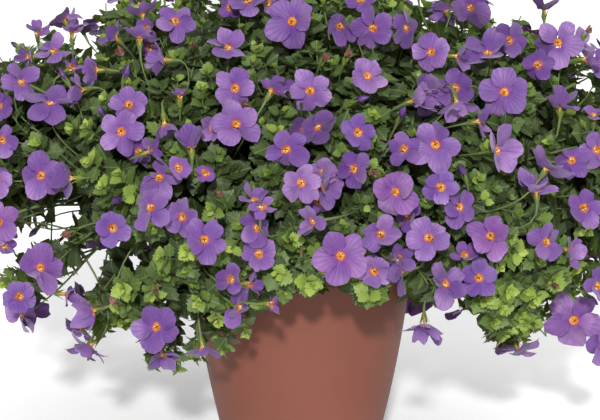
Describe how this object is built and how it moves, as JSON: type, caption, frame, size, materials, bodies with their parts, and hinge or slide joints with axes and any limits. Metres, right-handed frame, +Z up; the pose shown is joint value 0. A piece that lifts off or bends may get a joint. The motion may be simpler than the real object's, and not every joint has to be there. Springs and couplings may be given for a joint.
{
  "type": "potted bacopa",
  "caption": "Low rounded bedding plant in a plain terracotta-coloured pot, its small toothed leaves covered with five-lobed violet flowers.",
  "frame": {"origin": "centre of the pot's flat foot, on the surface that it stands on", "axes": "+Z up along the pot's axis, -Y towards the pictured front, +X to the viewer's right"},
  "size_m": [0.4079, 0.3364, 0.279],
  "materials": {
    "terracotta": "matt unglazed clay",
    "soil": "dark crumbly potting soil",
    "foliage": "soft green leaves",
    "petals": "soft violet petals"
  },
  "bodies": {
    "root": {"pot": "terracotta", "soil": "soil", "leafy_stem_01": "foliage", "leafy_stem_02": "foliage", "leafy_stem_03": "foliage", "leafy_stem_04": "foliage", "leafy_stem_05": "foliage", "leafy_stem_06": "foliage", "leafy_stem_07": "foliage", "leafy_stem_08": "foliage", "leafy_stem_09": "foliage", "leafy_stem_10": "foliage", "leafy_stem_11": "foliage", "leafy_stem_12": "foliage", "leafy_stem_13": "foliage", "leafy_stem_14": "foliage", "leafy_stem_15": "foliage", "leafy_stem_16": "foliage", "leafy_stem_17": "foliage", "leafy_stem_18": "foliage", "leafy_stem_19": "foliage", "leafy_stem_20": "foliage", "leafy_stem_21": "foliage", "leafy_stem_22": "foliage", "leafy_stem_23": "foliage", "leafy_stem_24": "foliage", "leafy_stem_25": "foliage", "leafy_stem_26": "foliage", "leafy_stem_27": "foliage", "leafy_stem_28": "foliage", "bloom_spray_01": "petals", "bloom_spray_02": "petals", "bloom_spray_03": "petals", "bloom_spray_04": "petals", "bloom_spray_05": "petals", "bloom_spray_06": "petals", "bloom_spray_07": "petals", "bloom_spray_08": "petals", "bloom_spray_09": "petals", "bloom_spray_10": "petals", "bloom_spray_11": "petals", "bloom_spray_12": "petals", "bloom_spray_13": "petals", "bloom_spray_14": "petals", "bloom_spray_15": "petals", "bloom_spray_16": "petals", "bloom_spray_17": "petals", "bloom_spray_18": "petals", "bloom_spray_19": "petals", "bloom_spray_20": "petals", "bloom_spray_21": "petals", "bloom_spray_22": "petals", "bloom_spray_23": "petals", "bloom_spray_24": "petals", "bloom_spray_25": "petals", "bloom_spray_26": "petals", "bloom_spray_27": "petals", "bloom_spray_28": "petals"}
  },
  "joints": []
}
